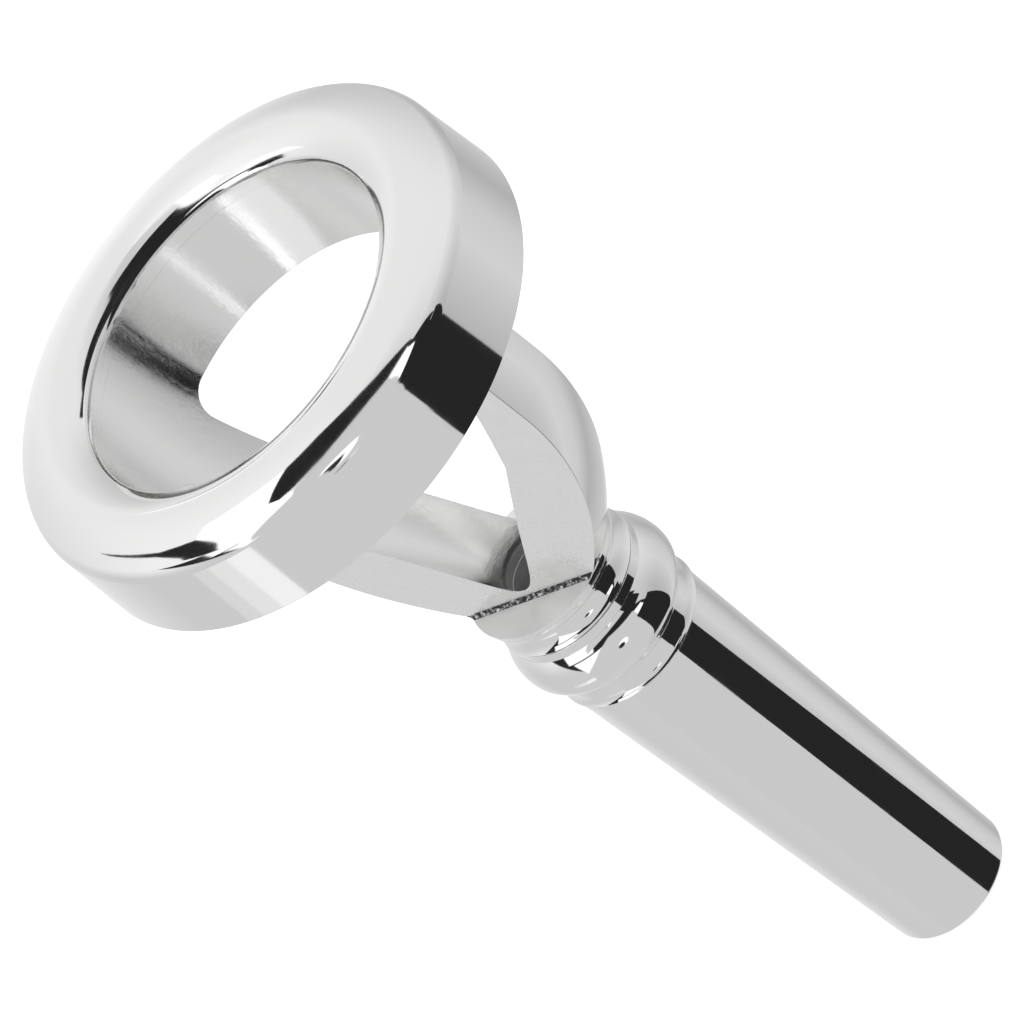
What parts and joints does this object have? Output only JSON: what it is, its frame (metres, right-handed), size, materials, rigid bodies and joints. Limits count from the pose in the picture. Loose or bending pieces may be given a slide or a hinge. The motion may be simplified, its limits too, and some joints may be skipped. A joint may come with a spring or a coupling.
{
  "type": "cut-away mouthpiece",
  "caption": "Silver-plated cut-away brass practice mouthpiece with cushion rim, two-arm cup cage, turned neck and tapered shank.",
  "frame": {"origin": "centre of the shank's flat end face", "axes": "+Z along the bore from the shank end towards the rim, the two arms on +X and -X, the windows open on +Y and -Y"},
  "size_m": [0.0398, 0.0398, 0.0809],
  "materials": {
    "polished_plate": "mirror-polished silver plate over brass",
    "satin_plate": "satin machined silver plate over brass"
  },
  "bodies": {
    "root": {"rim_ring": "polished_plate", "cup_cage": "satin_plate", "neck_bead": "polished_plate", "neck_collar": "polished_plate", "shank": "polished_plate"}
  },
  "joints": []
}
